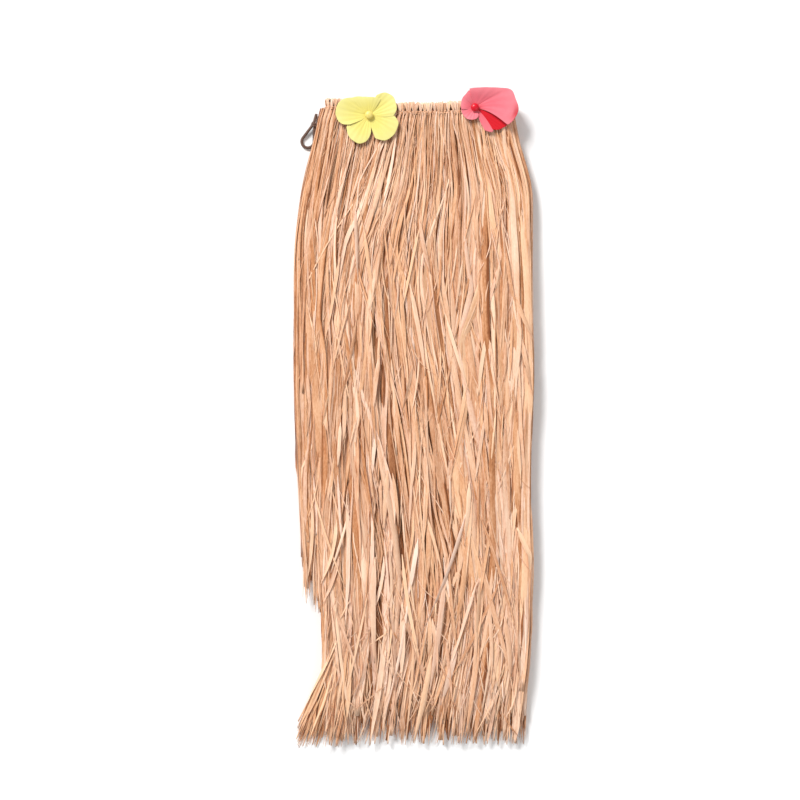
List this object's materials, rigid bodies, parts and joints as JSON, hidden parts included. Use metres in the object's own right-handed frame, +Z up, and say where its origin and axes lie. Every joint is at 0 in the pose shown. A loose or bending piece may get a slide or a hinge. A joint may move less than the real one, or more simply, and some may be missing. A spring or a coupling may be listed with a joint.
{
  "type": "grass skirt",
  "caption": "Folded raffia grass skirt lying flat: a twined waist of looped raffia over a cord tie, long loose strands with a ragged hem, and cloth flowers at the waist.",
  "frame": {"origin": "on the surface that the skirt rests on, under the middle of its box, with the tie's free end left out", "axes": "+Y from hem to waist, +X to the right seen from above, +Z up from the surface"},
  "size_m": [0.2322, 0.6294, 0.0277],
  "materials": {
    "raffia": "dry, slightly glossy palm fibre in split ribbons",
    "raffia_inner": "dry palm fibre in packed ribbons",
    "cord": "dark twisted cord",
    "yellow_cloth": "satin petal cloth with pressed veins",
    "red_cloth": "satin petal cloth with pressed veins",
    "yellow_plastic": "glossy bead",
    "red_plastic": "glossy bead"
  },
  "bodies": {
    "root": {"hidden_layers": "raffia_inner", "hem_fringe": "raffia_inner", "front_fringe": "raffia", "waist_cord": "cord", "tie_lead": "cord", "tie_knot": "cord", "tie_loop": "cord", "tie_tail": "cord", "yellow_petals": "yellow_cloth", "yellow_bead": "yellow_plastic", "red_petals": "red_cloth", "red_bead": "red_plastic"}
  },
  "joints": []
}
